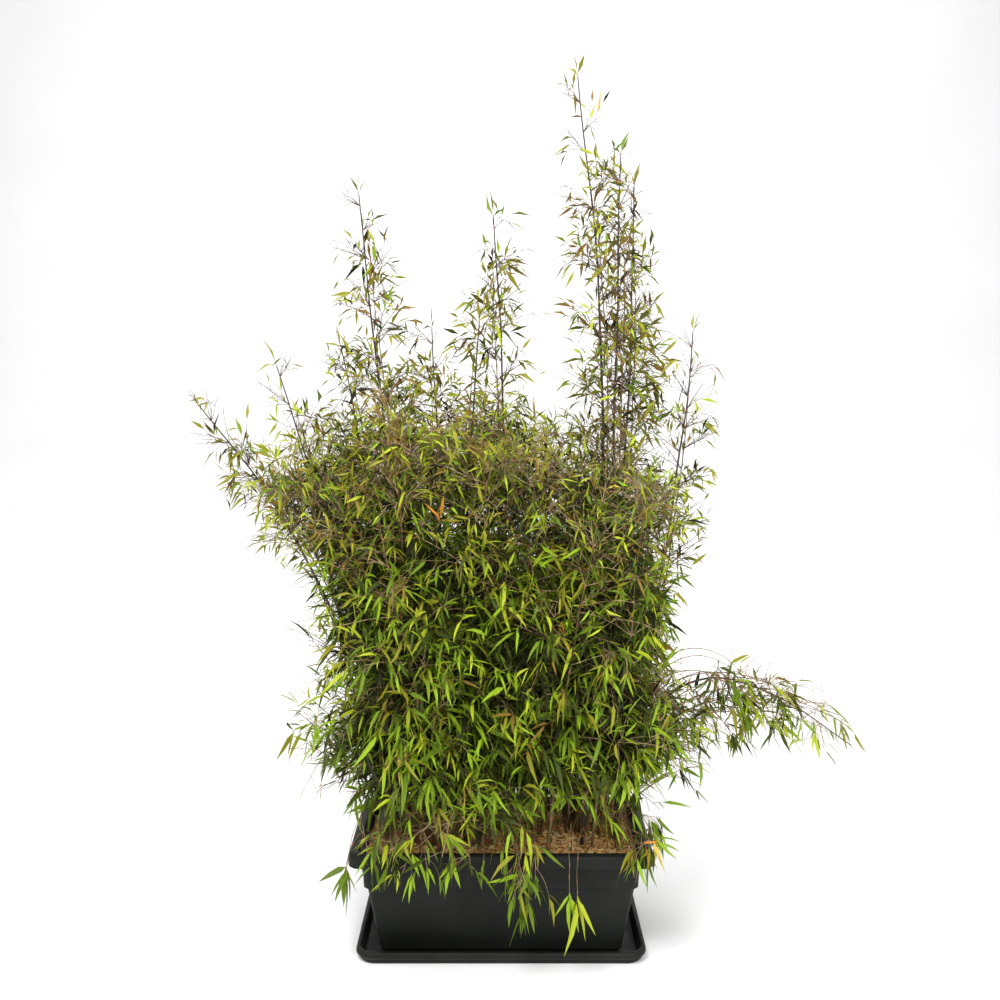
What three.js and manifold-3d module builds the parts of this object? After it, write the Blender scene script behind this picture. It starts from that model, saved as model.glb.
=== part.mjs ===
// A clump of clumping bamboo in a rectangular plastic planter that stands in its saucer.
// Millimetres, +Z up. The origin is the centre of the saucer's flat underside, +X runs along the planter
// to the side where one low branch arches far out, and -Y is the planter's front.
// Every cane and every mass of leaves is one solid; masses are cut round the canes and round each other.
import * as THREE from "three";
import { mergeVertices } from "three/addons/utils/BufferGeometryUtils.js";
import Module from "manifold-3d";

// ---- driving dimensions ----
const PLANTER_LENGTH = 790;
const PLANTER_DEPTH = 390;
const PLANTER_TOP = 306;
const PLANTER_CORNER = 34;
const WALL = 3;
const RIM_SKIRT = 34;
const COLLAR_INSET = 35;
const COLLAR_FOOT = 199;
const COLLAR_STEP = 10;
const FOOT_INSET = 76;
const RIM_BAND = 26;

const SAUCER_LENGTH = 764;
const SAUCER_DEPTH = 366;
const SAUCER_HEIGHT = 34;
const SAUCER_CORNER = 46;
const SAUCER_LIP = 15;

const SOIL_TOP = 281;
const GAP = 0.4;
const CORNER_STEPS = 3;

const CANE_SIDES = 6;
const CANE_RINGS = 6;
const CANE_FOOT_RADIUS = 5;
const CANE_TIP_RADIUS = 1.2;

const wasm = await Module();
wasm.setup();

// ---- surfaces ----

// The closed surface through a stack of rings that hold equal numbers of points, with a fan over each end.
function loft(rings) {
  const around = rings[0].length;
  const corners = rings.flat().flatMap((p) => [p.x, p.y, p.z]);
  const faces = [];
  for (let level = 0; level + 1 < rings.length; level++)
    for (let i = 0; i < around; i++) {
      const here = level * around + i;
      const beside = level * around + ((i + 1) % around);
      faces.push(here, beside, beside + around, here, beside + around, here + around);
    }
  for (const [level, turn] of [[0, -1], [rings.length - 1, 1]]) {
    const middle = new THREE.Vector3();
    rings[level].forEach((p) => middle.addScaledVector(p, 1 / around));
    const hub = corners.length / 3;
    corners.push(middle.x, middle.y, middle.z);
    for (let i = 0; i < around; i++) {
      const a = level * around + i;
      const b = level * around + ((i + 1) % around);
      faces.push(...(turn > 0 ? [a, b, hub] : [b, a, hub]));
    }
  }
  const geometry = new THREE.BufferGeometry();
  geometry.setAttribute("position", new THREE.Float32BufferAttribute(corners, 3));
  geometry.setIndex(faces);
  return geometry;
}

// A level rectangle with rounded corners, anticlockwise from above.
function roundedRing(halfLength, halfDepth, corner, z) {
  const ring = [];
  for (let quarter = 0; quarter < 4; quarter++) {
    const sideX = quarter === 0 || quarter === 3 ? 1 : -1;
    const sideY = quarter < 2 ? 1 : -1;
    for (let step = 0; step <= CORNER_STEPS; step++) {
      const angle = ((quarter + step / CORNER_STEPS) * Math.PI) / 2;
      ring.push(
        new THREE.Vector3(
          sideX * (halfLength - corner) + corner * Math.cos(angle),
          sideY * (halfDepth - corner) + corner * Math.sin(angle),
          z,
        ),
      );
    }
  }
  return ring;
}

// A tray-like solid: profile is a list of [inset from the outer edge, height], outside first, then inside.
function tray(length, depth, corner, profile) {
  return loft(
    profile.map(([inset, z]) =>
      roundedRing(length / 2 - inset, depth / 2 - inset, Math.max(corner - 0.4 * inset, 6), z),
    ),
  );
}

// ---- planter, saucer and soil ----

const POT_FOOT = WALL + GAP;
const POT_FLOOR = POT_FOOT + WALL + 1;
const BODY_INSET = COLLAR_INSET + COLLAR_STEP;

function planterGeometry() {
  const skirtFoot = PLANTER_TOP - RIM_SKIRT;
  return tray(PLANTER_LENGTH, PLANTER_DEPTH, PLANTER_CORNER, [
    [FOOT_INSET, POT_FOOT],
    [BODY_INSET, COLLAR_FOOT - 4],
    [COLLAR_INSET + 1, COLLAR_FOOT],
    [COLLAR_INSET - 2, skirtFoot + 2],
    [RIM_BAND - 4, PLANTER_TOP - 7],
    [WALL, PLANTER_TOP - 7],
    [WALL, skirtFoot],
    [0, skirtFoot],
    [0.5, PLANTER_TOP - 10],
    [3, PLANTER_TOP - 3],
    [9, PLANTER_TOP],
    [RIM_BAND - 4, PLANTER_TOP],
    [RIM_BAND, PLANTER_TOP - 4],
    [COLLAR_INSET + 2, skirtFoot + 2],
    [COLLAR_INSET + 1 + WALL, COLLAR_FOOT + 2],
    [BODY_INSET + WALL, COLLAR_FOOT - 6],
    [FOOT_INSET + WALL, POT_FLOOR],
  ]);
}

function saucerGeometry() {
  return tray(SAUCER_LENGTH, SAUCER_DEPTH, SAUCER_CORNER, [
    [12, 0],
    [9, 3],
    [6, 14],
    [1, 18],
    [0, SAUCER_HEIGHT - 8],
    [2, SAUCER_HEIGHT - 2],
    [7, SAUCER_HEIGHT],
    [SAUCER_LIP - 3, SAUCER_HEIGHT - 2],
    [SAUCER_LIP, SAUCER_HEIGHT - 8],
    [SAUCER_LIP + 5, WALL],
  ]);
}

function soilGeometry() {
  const clear = 2 * GAP;
  const edge = SOIL_TOP - 7;
  return tray(PLANTER_LENGTH, PLANTER_DEPTH, PLANTER_CORNER, [
    [FOOT_INSET + WALL + clear, POT_FLOOR + GAP],
    [BODY_INSET + WALL + clear, COLLAR_FOOT - 6],
    [COLLAR_INSET + 1 + WALL + clear, COLLAR_FOOT + 3],
    [COLLAR_INSET + 2 + clear, edge],
    [COLLAR_INSET + WALL + 22, SOIL_TOP],
  ]);
}

// ---- canes ----

// The middle line of a cane from the soil (share 0) to its tip (share 1). It leans out by the power "arch",
// sways by "sway" at half height, and "lift" bows it up and over.
function caneLine({ foot, tip, sway = [0, 0], arch = 1, lift = 0 }) {
  const start = SOIL_TOP + GAP;
  return (share) => {
    const out = Math.pow(share, arch);
    const bow = Math.sin(Math.PI * share);
    return new THREE.Vector3(
      foot[0] + (tip[0] - foot[0]) * out + sway[0] * bow,
      foot[1] + (tip[1] - foot[1]) * out + sway[1] * bow,
      start + (tip[2] - start) * share + lift * bow,
    );
  };
}

// A ring square to the line at share, or level where level is true.
function ringAbout(line, share, radius, sides, level = false) {
  const ahead = line(share + 0.01);
  const behind = line(Math.max(share - 0.01, 0));
  const along = level ? new THREE.Vector3(0, 0, 1) : ahead.sub(behind).normalize();
  const side = new THREE.Vector3(0, 1, 0).cross(along).normalize();
  const front = along.clone().cross(side);
  const middle = line(share);
  return Array.from({ length: sides }, (_, i) => {
    const angle = (2 * Math.PI * i) / sides;
    const reach = typeof radius === "function" ? radius(angle) : radius;
    return middle
      .clone()
      .addScaledVector(side, reach * Math.cos(angle))
      .addScaledVector(front, reach * Math.sin(angle));
  });
}

// One tapering cane, or only the stretch of it between the shares "from" and "until".
function caneRings(cane, sides, reachAt) {
  const line = caneLine(cane);
  const { from = 0, until = 1, rings = CANE_RINGS } = cane;
  return Array.from({ length: rings }, (_, i) => {
    const share = from + ((until - from) * i) / (rings - 1);
    return ringAbout(line, share, reachAt(share), sides, share === 0);
  });
}

function caneRadius({ footRadius = CANE_FOOT_RADIUS }, share) {
  return footRadius + (CANE_TIP_RADIUS - footRadius) * Math.pow(share, 1.4);
}

function caneGeometry(cane) {
  return loft(caneRings(cane, CANE_SIDES, (share) => caneRadius(cane, share)));
}

// A square rod round the cane, a little longer than it, which cuts its way through the leaves.
function caneCutter(cane) {
  const squareReach = Math.SQRT2;
  const rings = caneRings(cane, 4, (share) => (caneRadius(cane, share) + GAP) * squareReach);
  rings[0].forEach((p) => (p.z -= GAP));
  const line = caneLine(cane);
  const { until = 1 } = cane;
  const beyond = line(until).sub(line(until - 0.02)).setLength(GAP);
  rings.at(-1).forEach((p) => p.add(beyond));
  return loft(rings);
}

// The low branch that arches far out to the right is two solids, which meet at its bend.
const ARCH_RIGHT = { foot: [315, 40], tip: [930, -60, 550], arch: 1.6, lift: 290, footRadius: 4.5 };

// The canes that stay whole through the leaves: where each leaves the soil, and where its tip is.
const CANES = {
  cane_tall: { foot: [190, 20], tip: [193, 30, 2275], sway: [75, 0], footRadius: 5.5 },
  cane_second: { foot: [215, -70], tip: [293, -60, 2070], sway: [25, -10] },
  cane_third: { foot: [265, 90], tip: [343, 105, 2015], sway: [30, 10] },
  cane_right: { foot: [300, -30], tip: [485, -40, 1640], sway: [20, -20] },
  cane_middle: { foot: [30, 60], tip: [-17, 30, 1930], sway: [8, 20] },
  cane_topped: { foot: [-95, -60], tip: [-54, -50, 1660], sway: [-18, -20], footRadius: 5.5 },
  cane_centre_left: { foot: [-110, 90], tip: [-185, 110, 1650], sway: [-10, 10] },
  cane_left: { foot: [-190, 10], tip: [-360, 20, 1985], sway: [-25, 0], arch: 1.3 },
  cane_inner_shoulder: { foot: [-215, 100], tip: [-430, 120, 1600], sway: [-5, 10], arch: 1.2 },
  cane_shoulder: { foot: [-250, -70], tip: [-560, -90, 1555], sway: [30, -30] },
  cane_arch_left: { foot: [-285, 30], tip: [-785, -30, 1465], sway: [-25, 0], arch: 1.6, lift: 80 },
  cane_arch_right: { ...ARCH_RIGHT, until: 0.55 },
  cane_arch_right_end: { ...ARCH_RIGHT, from: 0.5505 },
};

// Canes whose upper length is lost in the leaves end a little way inside the mass they enter.
const STUB_SHARE = 0.14;
const STUBS = {
  stub_front_left: { foot: [-160, -125], tip: [-300, -340, 1300] },
  stub_front_right: { foot: [120, -125], tip: [230, -330, 1250] },
  stub_back: { foot: [60, 130], tip: [110, 330, 1350] },
};

// ---- masses of leaves ----

const MASS_ROUND = 8;
const MASS_LEVELS = 6;
const PLUME_SIDES = 6;
const PLUME_RINGS = 6;

// How far a leaf mass bulges at a direction, as a share of its size.
function bulge(x, y, z, seed) {
  return (
    Math.sin(3.4 * x + 1.9 * seed) * Math.cos(3.1 * y + 2.7 * seed) +
    0.7 * Math.sin(4.6 * z + 2.2 * x + 3.3 * seed)
  );
}

// A lump: an uneven ellipsoid, broader above than below, its top leaning out by "lean".
const BROADER = 0.14;

function lumpGeometry({ centre, size, seed, rough = 0.09, lean = 0 }, grow = 0) {
  const geometry = new THREE.SphereGeometry(1, MASS_ROUND, MASS_LEVELS);
  const at = geometry.getAttribute("position");
  for (let i = 0; i < at.count; i++) {
    // SphereGeometry's poles lie along Y: turned here to lie along Z
    const [x, y, z] = [at.getX(i), -at.getZ(i), at.getY(i)];
    const reach = 1 + rough * bulge(x, y, z, seed);
    const across = reach * (1 + BROADER * z);
    at.setXYZ(
      i,
      centre[0] + x * (size[0] * across + grow) + lean * z,
      centre[1] + y * (size[1] * across + grow),
      centre[2] + z * (size[2] * reach + grow),
    );
  }
  return geometry;
}

// A plume: leaves round a length of one cane, widest at "belly" of the way up and pointed at the top.
function plumeGeometry({ cane, from, to, width, seed, belly = 0.2, rough = 0.14 }, grow = 0) {
  const line = caneLine(cane);
  const rings = [];
  for (let i = 0; i < PLUME_RINGS; i++) {
    const up = i / (PLUME_RINGS - 1);
    const swell = up < belly ? 0.3 + (0.7 * up) / belly : 1 - (0.96 * (up - belly)) / (1 - belly);
    const full = width * Math.pow(Math.sin((Math.PI / 2) * swell), 0.75);
    const radius = (angle) =>
      full * (1 + rough * bulge(Math.cos(angle), Math.sin(angle), 4 * up, seed)) + grow;
    rings.push(ringAbout(line, from + (to - from) * up, radius, PLUME_SIDES));
  }
  return loft(rings);
}

// The share of each cane that carries a plume above the crown, and the plume's half width.
const PLUMES = {
  plume_tall: { cane: "cane_tall", from: 0.48, to: 1.026, width: 118, belly: 0.3 },
  plume_second: { cane: "cane_second", from: 0.52, to: 1.02, width: 84, belly: 0.35 },
  plume_third: { cane: "cane_third", from: 0.53, to: 1.02, width: 98, belly: 0.35 },
  plume_right: { cane: "cane_right", from: 0.55, to: 1.04, width: 98, belly: 0.3 },
  plume_middle: { cane: "cane_middle", from: 0.6, to: 1.02, width: 108 },
  plume_topped: { cane: "cane_topped", from: 0.93, to: 1.08, width: 74, belly: 0.6 },
  plume_centre_left: { cane: "cane_centre_left", from: 0.68, to: 1.04, width: 106 },
  plume_left: { cane: "cane_left", from: 0.56, to: 1.02, width: 116 },
  plume_inner_shoulder: { cane: "cane_inner_shoulder", from: 0.7, to: 1.03, width: 84 },
  plume_shoulder: { cane: "cane_shoulder", from: 0.66, to: 1.03, width: 96 },
  plume_arch_left: { cane: "cane_arch_left", from: 0.6, to: 1.01, width: 84, belly: 0.3 },
};

// The body of the crown: three levels of lumps, side by side from "left" to "right", in front and behind.
// Each lump's height differs from its level's by "rises", from left to right.
const LEVELS = {
  low: {
    z: 530, tall: 195, left: -415, right: 450, depth: 335,
    front: [5, -15, 55],
    back: [5, 20],
  },
  waist: {
    z: 850, tall: 215, left: -480, right: 440, depth: 380,
    front: [0, 50, -25, 15],
    back: [35, -20, 20],
  },
  crown: {
    z: 1185, tall: 222, left: -565, right: 420, depth: 355,
    front: [0, 75, 50, -45],
    back: [30, 80, -50],
  },
};
const SIDE_OVERLAP = 1.22;
const SPREAD_JITTER = 0.14;
const LEAN_OUT = 0.16;

function levelLumps(name, { z, tall, left, right, depth, front, back }, firstSeed) {
  const lumps = [];
  for (const [side, sign, rises] of [["front", -1, front], ["back", 1, back]]) {
    const pitch = (right - left) / rises.length;
    rises.forEach((rise, i) => {
      const seed = firstSeed + lumps.length;
      const x = left + pitch * (i + 0.5 + SPREAD_JITTER * Math.sin(5.3 * seed));
      const uneven = 1 + 0.1 * Math.sin(3.7 * seed);
      lumps.push({
        name: `leaves_${name}_${side}_${i + 1}`,
        centre: [x, sign * 0.47 * depth, z + rise],
        size: [(pitch / 2) * SIDE_OVERLAP, 0.53 * depth, tall * uneven],
        lean: LEAN_OUT * x,
        seed,
      });
    });
  }
  return lumps;
}

// Smaller masses at the edges: over the planter's rim, beside it, and on the low arching branch.
const EDGE_LUMPS = {
  leaves_side_left: { centre: [-525, -10, 640], size: [62, 100, 150] },
  leaves_side_right: { centre: [500, -20, 520], size: [80, 105, 170] },
  bough_right_inner: { centre: [620, -20, 662], size: [112, 88, 160] },
  bough_right_outer: { centre: [755, -40, 640], size: [92, 58, 84] },
  bough_right_tip: { centre: [884, -55, 580], size: [60, 24, 40] },
  drape_left: { centre: [-235, -224, 325], size: [150, 52, 88] },
  drape_middle: { centre: [0, -224, 325], size: [128, 50, 80] },
  drape_right: { centre: [352, -205, 335], size: [62, 50, 66] },
  spray_front: { centre: [42, -252, 172], size: [40, 18, 78] },
  spray_front_right: { centre: [192, -250, 190], size: [38, 16, 54] },
  spray_left: { centre: [-400, -205, 240], size: [28, 24, 58] },
};

// ---- colours ----

const COLOUR = {
  cane: new THREE.Color(0.16, 0.12, 0.07),
  spire: new THREE.Color(0.3, 0.33, 0.06),
  leaves: new THREE.Color(0.17, 0.26, 0.04),
  plastic: new THREE.Color(0.022, 0.023, 0.025),
  soil: new THREE.Color(0.3, 0.17, 0.08),
};

function material(colour, roughness) {
  return new THREE.MeshStandardMaterial({ color: colour, roughness, metalness: 0 });
}

function part(name, geometry, colour, roughness) {
  const mesh = new THREE.Mesh(geometry, material(colour, roughness));
  mesh.name = name;
  return mesh;
}

// ---- cutting ----

function toSolid(geometry) {
  const bare = geometry.clone();
  bare.deleteAttribute("normal");
  bare.deleteAttribute("uv");
  const merged = mergeVertices(bare, 1e-3);
  return new wasm.Manifold(
    new wasm.Mesh({
      numProp: 3,
      vertProperties: merged.getAttribute("position").array,
      triVerts: new Uint32Array(merged.index.array),
    }),
  );
}

// The largest body of a solid: a cut can leave crumbs beside the mass itself.
function largestBody(solid) {
  return solid.decompose().reduce((a, b) => (a.volume() > b.volume() ? a : b));
}

function toGeometry(solid) {
  const mesh = solid.getMesh();
  const geometry = new THREE.BufferGeometry();
  geometry.setAttribute("position", new THREE.BufferAttribute(mesh.vertProperties, 3));
  geometry.setIndex(new THREE.BufferAttribute(mesh.triVerts, 1));
  return geometry;
}

// ---- assembly ----

const plant = new THREE.Group();
const pot = new THREE.Group();
plant.add(pot);
pot.add(part("saucer", saucerGeometry(), COLOUR.plastic, 0.5));
pot.add(part("planter", planterGeometry(), COLOUR.plastic, 0.5));
pot.add(part("soil", soilGeometry(), COLOUR.soil, 0.95));

const cutters = [];
const stubs = Object.entries(STUBS).map(([name, cane]) => [name, { ...cane, until: STUB_SHARE, rings: 3 }]);
for (const [name, cane] of [...Object.entries(CANES), ...stubs]) {
  plant.add(part(name, caneGeometry(cane), COLOUR.cane, 0.5));
  cutters.push(toSolid(caneCutter(cane)));
}

// The planter as one block, so that no mass reaches into it or its rim.
const POT_CLEARANCE = 2;
cutters.push(
  toSolid(
    tray(PLANTER_LENGTH, PLANTER_DEPTH, PLANTER_CORNER, [
      [-POT_CLEARANCE, 0],
      [-POT_CLEARANCE, PLANTER_TOP + POT_CLEARANCE],
    ]),
  ),
);

// Adds one mass, cut by everything before it, and keeps it as a cutter for those after it.
function addMass(name, shapeAt, colour) {
  let solid = toSolid(shapeAt(0));
  for (const cutter of cutters) solid = solid.subtract(cutter);
  plant.add(part(name, toGeometry(largestBody(solid)), colour, 0.9));
  cutters.push(toSolid(shapeAt(2 * GAP)));
}

let seed = 1;
for (const [name, level] of Object.entries(LEVELS)) {
  const lumps = levelLumps(name, level, seed);
  for (const lump of lumps) addMass(lump.name, (grow) => lumpGeometry(lump, grow), COLOUR.leaves);
  seed += lumps.length;
}
for (const [name, plume] of Object.entries(PLUMES)) {
  const shape = { ...plume, cane: CANES[plume.cane], seed: seed++ };
  addMass(name, (grow) => plumeGeometry(shape, grow), COLOUR.spire);
}
for (const [name, lump] of Object.entries(EDGE_LUMPS)) {
  const shape = { ...lump, seed: seed++ };
  addMass(name, (grow) => lumpGeometry(shape, grow), COLOUR.leaves);
}

export default plant;
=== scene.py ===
import math

import bpy
import numpy as np
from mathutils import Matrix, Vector
from mathutils.bvhtree import BVHTree


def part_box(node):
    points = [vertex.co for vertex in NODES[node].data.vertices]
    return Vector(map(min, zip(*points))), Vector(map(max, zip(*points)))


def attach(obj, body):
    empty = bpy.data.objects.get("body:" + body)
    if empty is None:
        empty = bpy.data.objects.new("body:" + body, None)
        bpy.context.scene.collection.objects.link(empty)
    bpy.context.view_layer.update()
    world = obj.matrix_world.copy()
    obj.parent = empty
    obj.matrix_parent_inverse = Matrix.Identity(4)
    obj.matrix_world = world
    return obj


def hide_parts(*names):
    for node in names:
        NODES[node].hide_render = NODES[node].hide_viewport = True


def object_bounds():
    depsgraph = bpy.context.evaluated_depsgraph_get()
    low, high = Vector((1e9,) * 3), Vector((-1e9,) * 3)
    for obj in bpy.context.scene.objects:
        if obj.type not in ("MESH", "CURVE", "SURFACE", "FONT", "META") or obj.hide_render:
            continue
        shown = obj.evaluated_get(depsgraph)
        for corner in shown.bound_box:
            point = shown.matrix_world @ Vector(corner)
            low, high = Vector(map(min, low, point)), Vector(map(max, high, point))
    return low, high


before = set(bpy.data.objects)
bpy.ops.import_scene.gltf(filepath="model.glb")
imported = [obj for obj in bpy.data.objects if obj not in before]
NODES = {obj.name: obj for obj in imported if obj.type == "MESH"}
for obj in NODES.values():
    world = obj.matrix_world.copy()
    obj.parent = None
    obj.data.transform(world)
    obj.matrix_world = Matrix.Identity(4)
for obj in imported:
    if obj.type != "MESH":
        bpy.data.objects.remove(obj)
CAD_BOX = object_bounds()
RNG = np.random.default_rng(20)
CLUMP_RNG = np.random.default_rng(7)
UP = np.array([0.0, 0.0, 1.0])

CANES = sorted(n for n in NODES if n.startswith("cane_"))
STUBS = sorted(n for n in NODES if n.startswith("stub_"))
END = "_end"  # the outer half of a limb that is split at its bend

# How leaves grow in each kind of mass, and at the tips of the main canes. Lengths are in metres and
# angles in degrees; a pair is a lowest and a highest.
#   fan      branches at one node of a cane
#   rise     angle between a branch and its cane
#   reach    length of a branch
#   droop    how far a branch's end bends down
#   twigs    share of a branch's places that carry a twig
#   twig     length of a twig
#   leaves   leaves on a twig
#   blade    length of a leaf
#   slim     width of a leaf over its length
#   hang     how far a leaf turns to point straight down, from 0 to 1
#   airy     depth over which the mass thins out towards its surface
#   ragged   distance over which it thins out towards the edge of the crown's outline
#   stray    share of the leaves that may end beyond the mass
#   shoots   canes grown for each mass of the kind, over those of the CAD frame
NO_BRANCHES = dict(
    fan=(0, 0), rise=(15, 40), reach=(0.02, 0.04), twigs=0.0, twig=(0.01, 0.02),
    airy=0.0, ragged=0.0, stray=1.0,
)
HABITS = {
    "plume": dict(
        fan=(4, 7), rise=(34, 64), reach=(0.06, 0.15), droop=0.2, twigs=0.38, twig=(0.012, 0.034),
        leaves=(1, 3), blade=(0.032, 0.056), slim=(0.15, 0.21), hang=0.22,
        airy=0.02, ragged=0.0, stray=0.1, shoots=1,
    ),
    "crown": dict(
        fan=(3, 6), rise=(30, 68), reach=(0.09, 0.2), droop=0.15, twigs=0.7, twig=(0.018, 0.045),
        leaves=(2, 3), blade=(0.028, 0.052), slim=(0.13, 0.18), hang=0.12,
        airy=0.14, ragged=0.15, stray=0.15, shoots=10,
    ),
    "waist": dict(
        fan=(3, 6), rise=(35, 80), reach=(0.10, 0.2), droop=0.22, twigs=0.74, twig=(0.02, 0.05),
        leaves=(2, 4), blade=(0.036, 0.066), slim=(0.11, 0.16), hang=0.1,
        airy=0.08, ragged=0.14, stray=0.15, shoots=5,
    ),
    "low": dict(
        fan=(3, 5), rise=(35, 85), reach=(0.09, 0.2), droop=0.35, twigs=0.74, twig=(0.02, 0.055),
        leaves=(2, 4), blade=(0.042, 0.076), slim=(0.11, 0.16), hang=0.18,
        airy=0.08, ragged=0.2, stray=0.2, shoots=7,
    ),
    "side": dict(
        fan=(1, 3), rise=(40, 85), reach=(0.08, 0.16), droop=0.4, twigs=0.4, twig=(0.02, 0.05),
        leaves=(2, 3), blade=(0.038, 0.068), slim=(0.12, 0.17), hang=0.25,
        airy=0.05, ragged=0.0, stray=0.1, shoots=5,
    ),
    "bough": dict(
        fan=(1, 3), rise=(30, 85), reach=(0.07, 0.17), droop=0.3, twigs=0.36, twig=(0.02, 0.05),
        leaves=(2, 3), blade=(0.040, 0.070), slim=(0.13, 0.18), hang=0.3,
        airy=0.07, ragged=0.0, stray=0.1, shoots=4,
    ),
    "drape": dict(
        fan=(1, 3), rise=(30, 75), reach=(0.04, 0.09), droop=0.7, twigs=0.3, twig=(0.015, 0.04),
        leaves=(2, 4), blade=(0.046, 0.074), slim=(0.12, 0.17), hang=0.4,
        airy=0.0, ragged=0.0, stray=0.25, shoots=8,
    ),
    "spray": NO_BRANCHES | dict(
        droop=0.9, leaves=(4, 5), blade=(0.070, 0.092), slim=(0.12, 0.15), hang=0.5, shoots=2,
    ),
    "tip": NO_BRANCHES | dict(
        droop=0.1, leaves=(3, 3), blade=(0.056, 0.068), slim=(0.13, 0.16), hang=0.0, shoots=0,
    ),
}
KIND_NAMES = list(HABITS)
BODY_KINDS = [k for k in KIND_NAMES if HABITS[k]["ragged"] > 0] + ["plume"]


def kind_numbers(*names):
    return [KIND_NAMES.index(name) for name in names]


def kind_of(node):
    """The kind of mass a CAD node is, or None."""
    first, *rest = node.split("_")
    if first == "leaves":
        return rest[0]
    return first if first in HABITS else None


MASSES = sorted(n for n in NODES if kind_of(n))
MASS_KIND = np.array([-1] + [KIND_NAMES.index(kind_of(n)) for n in MASSES])


def habit(kinds, key, end=None):
    """One number of the habit for each of an array of kinds."""
    values = [h[key] if end is None else h[key][end] for h in HABITS.values()]
    return np.array(values, float)[kinds]


def between(kinds, key):
    """A random number between the habit's lowest and highest, for each of an array of kinds."""
    low, high = habit(kinds, key, 0), habit(kinds, key, 1)
    return low + (high - low) * RNG.random(len(kinds))


# ---- vectors ----


def unit(v):
    return v / np.maximum(np.linalg.norm(v, axis=-1, keepdims=True), 1e-9)


def across(v):
    """Two directions square to each of an array of directions and to each other."""
    helper = np.where(np.abs(v[..., 1:2]) < 0.8, [[0.0, 1.0, 0.0]], [[1.0, 0.0, 0.0]])
    side = unit(np.cross(helper, v))
    return side, np.cross(v, side)


def turned(v, angle, round_):
    """Each direction v bent by an angle, towards the bearing round_ about itself. Radians."""
    side, front = across(v)
    off = side * np.cos(round_)[:, None] + front * np.sin(round_)[:, None]
    return unit(v * np.cos(angle)[:, None] + off * np.sin(angle)[:, None])


def resample(points, step):
    """Evenly spaced points, about step apart, on the smooth line through points."""
    ends = np.vstack([2 * points[0] - points[1], points, 2 * points[-1] - points[-2]])
    t = np.linspace(0, 1, 12, endpoint=False)[:, None]
    pieces = []
    for a, b, c, d in zip(ends, ends[1:], ends[2:], ends[3:]):
        square = 2 * a - 5 * b + 4 * c - d
        cube = 3 * b - a - 3 * c + d
        pieces.append(0.5 * (2 * b + (c - a) * t + square * t**2 + cube * t**3))
    fine = np.vstack(pieces + [points[-1:]])
    along = np.concatenate([[0], np.cumsum(np.linalg.norm(np.diff(fine, axis=0), axis=1))])
    wanted = np.linspace(0, along[-1], max(3, int(along[-1] / step) + 1))
    return np.stack([np.interp(wanted, along, fine[:, k]) for k in range(3)], axis=1)


# ---- the CAD solids: the masses as cells, the canes as lines ----

CELL = 0.012
GAP_CELLS = 4  # half of the widest gap between masses that is closed
STRAY_CELLS = 2  # how far beyond a mass its growth may stray
DEEPEST_CELLS = 18  # depth is counted up to here
PAST_HIT = 1e-5  # how far past a surface the next ray starts
SAME_HEIGHT = 1e-4


def triangles(node):
    """The corners of a CAD node's mesh, and its faces as tuples of corner numbers."""
    mesh = NODES[node].data
    corners = np.array([v.co for v in mesh.vertices])
    return corners, [tuple(p.vertices) for p in mesh.polygons]


def worn(solid):
    """A grid of cells without those on its surface."""
    inner = solid.copy()
    for axis in range(solid.ndim):
        inner &= np.roll(solid, 1, axis) & np.roll(solid, -1, axis)
    return inner


def layers(solid, most):
    """How many cells deep inside a solid grid each of its cells is, counted up to most."""
    depth = np.zeros(solid.shape, np.int16)
    for _ in range(most):
        depth += solid
        solid = worn(solid)
    return depth


def filled(flat):
    """A flat grid with the holes that it encloses filled."""
    solid = np.zeros_like(flat)
    solid[1:-1, 1:-1] = True
    for _ in range(sum(flat.shape)):
        solid = flat | worn(solid)
    return solid


def spread(cells, steps):
    """A grid of numbers in which each number has taken that many layers of the empty cells round it."""
    for _ in range(steps):
        for axis in range(3):
            for shift in (1, -1):
                cells = np.where(cells == 0, np.roll(cells, shift, axis), cells)
    return cells


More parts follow.
